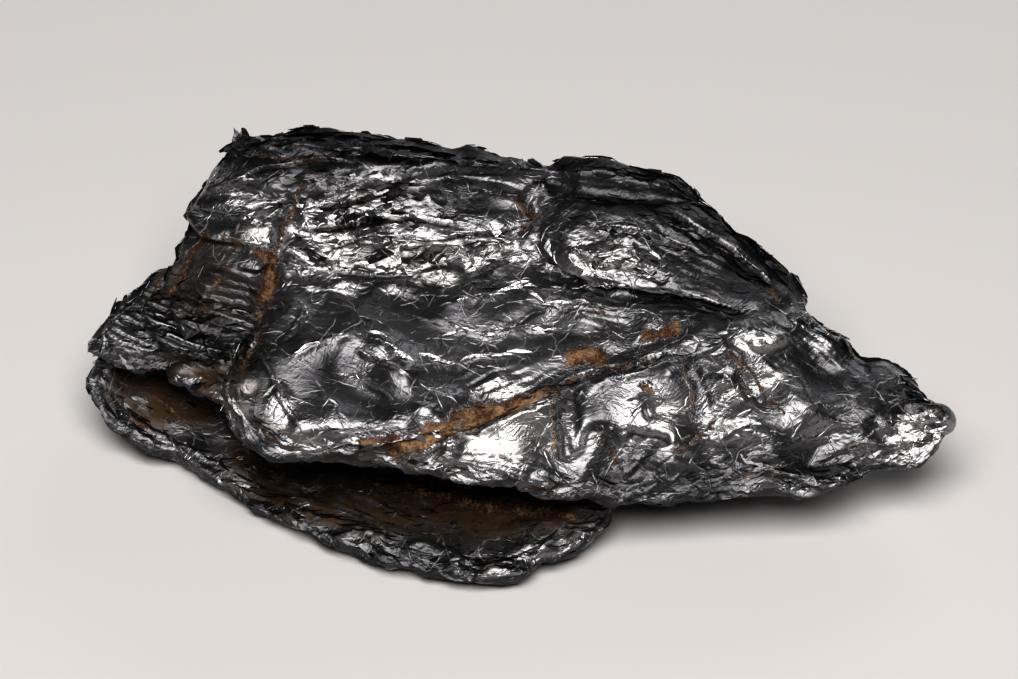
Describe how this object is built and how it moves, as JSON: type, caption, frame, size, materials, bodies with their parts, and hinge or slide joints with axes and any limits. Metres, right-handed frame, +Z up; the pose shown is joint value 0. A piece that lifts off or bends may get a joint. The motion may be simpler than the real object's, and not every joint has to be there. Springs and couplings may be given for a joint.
{
  "type": "molybdenite specimen",
  "caption": "Loose lump of foliated molybdenite: crumpled, stacked cleavage sheets with a pointed lobe and an open cleft, lying on its lowest sheet.",
  "frame": {"origin": "under the middle of the specimen, on the plane of the flat cleavage face that it lies on", "axes": "+X along the specimen towards its pointed lobe, +Y back from the open cleft, +Z up"},
  "size_m": [0.0868, 0.0462, 0.025],
  "materials": {
    "molybdenite": "bright lead-grey metallic cleavage, crumpled like foil, with rust-brown stains in the seams and clefts"
  },
  "bodies": {
    "root": {"molybdenite": "molybdenite"}
  },
  "joints": []
}
